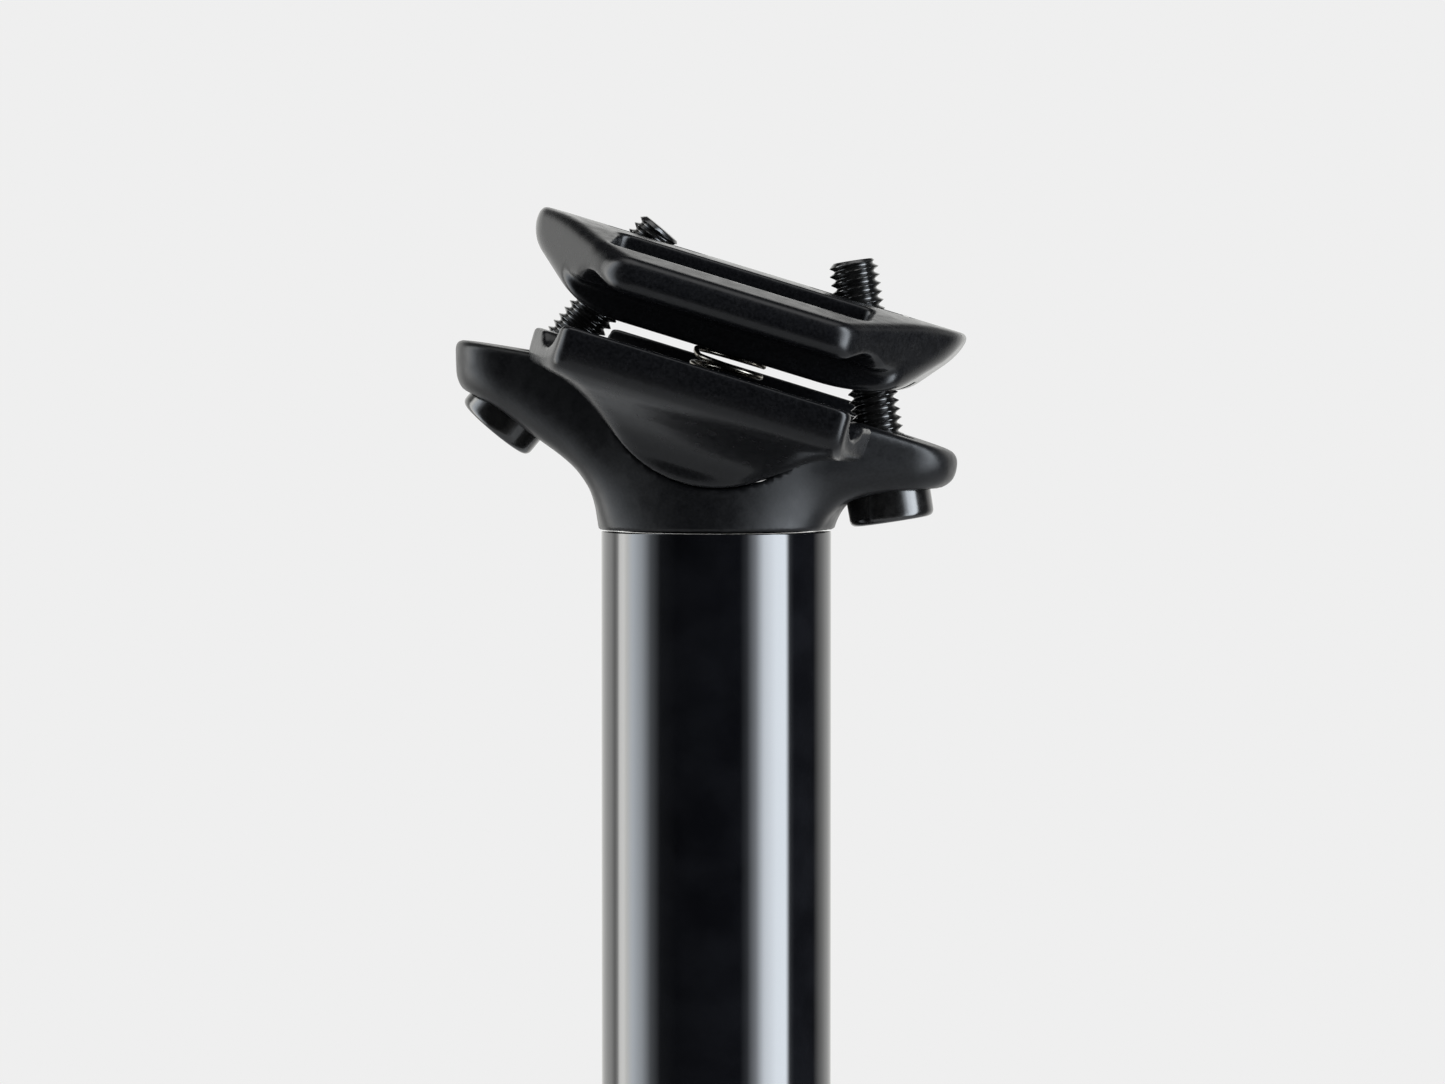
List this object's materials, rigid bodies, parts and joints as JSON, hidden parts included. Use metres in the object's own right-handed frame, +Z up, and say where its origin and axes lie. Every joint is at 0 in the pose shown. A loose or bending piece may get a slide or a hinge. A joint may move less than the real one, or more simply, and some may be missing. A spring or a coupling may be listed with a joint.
{
  "type": "suspension seatpost",
  "caption": "Telescopic suspension seatpost: a sprung stanchion slides in an outer tube and carries a forged two-bolt head that clamps the saddle rails.",
  "frame": {"origin": "on the post's axis, at the outer tube's lower end", "axes": "+Z up along the post, +X towards the bicycle's front, +Y towards its left side"},
  "size_m": [0.06, 0.0544, 0.3683],
  "materials": {
    "gloss_black_anodise": "gloss",
    "satin_black_anodise": "satin",
    "forged_black": "satin",
    "black_steel": "satin",
    "clamp_spring_steel": "gloss",
    "spring_steel": "satin",
    "plain_alloy": "satin",
    "bush_polymer": "matte",
    "rubber": "matte",
    "elastomer": "matte"
  },
  "bodies": {
    "post": {"outer_tube": "satin_black_anodise", "collar_nut": "satin_black_anodise", "wiper_seal": "rubber", "upper_bushing": "bush_polymer", "topout_ring": "spring_steel"},
    "spring_carrier": {"lower_spring_seat": "plain_alloy", "bottom_bumper": "elastomer", "main_spring": "spring_steel"},
    "preload_screw": {"preload_plug": "plain_alloy"},
    "stanchion": {"stanchion_tube": "gloss_black_anodise", "seat_head": "forged_black", "foot_bushing": "bush_polymer", "foot_nut": "plain_alloy", "key_1": "black_steel", "key_2": "black_steel", "key_3": "black_steel", "topout_bumper": "rubber", "upper_spring_seat": "plain_alloy", "spring_seat_pin": "spring_steel"},
    "lower_clamp": {"lower_cradle": "forged_black", "cradle_spring": "clamp_spring_steel"},
    "upper_clamp": {"upper_cradle": "forged_black"},
    "rear_nut_body": {"rear_nut": "black_steel"},
    "front_nut_body": {"front_nut": "black_steel"},
    "rear_seat": {"rear_washer": "black_steel"},
    "front_seat": {"front_washer": "black_steel"},
    "rear_screw": {"rear_bolt": "black_steel"},
    "front_screw": {"front_bolt": "black_steel"}
  },
  "joints": [
    {"name": "suspension_travel", "type": "slide", "parent": "post", "child": "stanchion", "axis": [0, 0, 1], "range_m": [-0.05, 0], "stiffness_N_per_m": 7000, "springref_m": 0.011, "deforming": ["main_spring"]},
    {"name": "preload_travel", "type": "slide", "parent": "post", "child": "spring_carrier", "axis": [0, 0, 1], "range_m": [0, 0.01], "deforming": ["main_spring"]},
    {"name": "preload_turn", "type": "hinge", "parent": "spring_carrier", "child": "preload_screw", "pos_m": [0, 0, 0.008], "axis": [0, 0, 1], "range_deg": [0, 2410]},
    {"name": "saddle_tilt", "type": "hinge", "parent": "stanchion", "child": "lower_clamp", "pos_m": [0.0014, 0, 0.35], "axis": [0, 1, 0], "range_deg": [-8, 4]},
    {"name": "clamp_lift", "type": "slide", "parent": "lower_clamp", "child": "upper_clamp", "axis": [0.2924, 0, 0.9563], "range_m": [-0.0026, 0.0015], "deforming": ["cradle_spring"]},
    {"name": "rear_nut_swivel", "type": "hinge", "parent": "upper_clamp", "child": "rear_nut_body", "pos_m": [-0.00968, 0, 0.36217], "axis": [0, 1, 0], "range_deg": [-4.2, 8.2]},
    {"name": "front_nut_swivel", "type": "hinge", "parent": "upper_clamp", "child": "front_nut_body", "pos_m": [0.01739, 0, 0.3539], "axis": [0, 1, 0], "range_deg": [-4.2, 8.2]},
    {"name": "rear_bolt_swing", "type": "hinge", "parent": "stanchion", "child": "rear_seat", "pos_m": [-0.02635, 0, 0.34237], "axis": [0, 1, 0], "range_deg": [-1.4, 2.4]},
    {"name": "front_bolt_swing", "type": "hinge", "parent": "stanchion", "child": "front_seat", "pos_m": [0.02084, 0, 0.3316], "axis": [0, 1, 0], "range_deg": [-3, 1.8]},
    {"name": "rear_bolt_turn", "type": "hinge", "parent": "rear_seat", "child": "rear_screw", "pos_m": [-0.02635, 0, 0.34237], "axis": [0.6441, 0, 0.7649], "range_deg": [-500, 865]},
    {"name": "front_bolt_turn", "type": "hinge", "parent": "front_seat", "child": "front_screw", "pos_m": [0.02084, 0, 0.3316], "axis": [-0.153, 0, 0.9882], "range_deg": [-490, 850]}
  ],
  "couplings": [
    {"joint": "preload_turn", "follows": "preload_travel", "rad_per_m": 4188.8},
    {"joint": "rear_bolt_turn", "follows": "clamp_lift", "rad_per_m": -5779.4},
    {"joint": "front_bolt_turn", "follows": "clamp_lift", "rad_per_m": -5656.9},
    {"joint": "rear_bolt_swing", "follows": "clamp_lift", "rad_per_m": -15.16},
    {"joint": "front_bolt_swing", "follows": "clamp_lift", "rad_per_m": 19.292},
    {"joint": "rear_nut_swivel", "follows": "saddle_tilt", "ratio": -1},
    {"joint": "front_nut_swivel", "follows": "saddle_tilt", "ratio": -1}
  ]
}
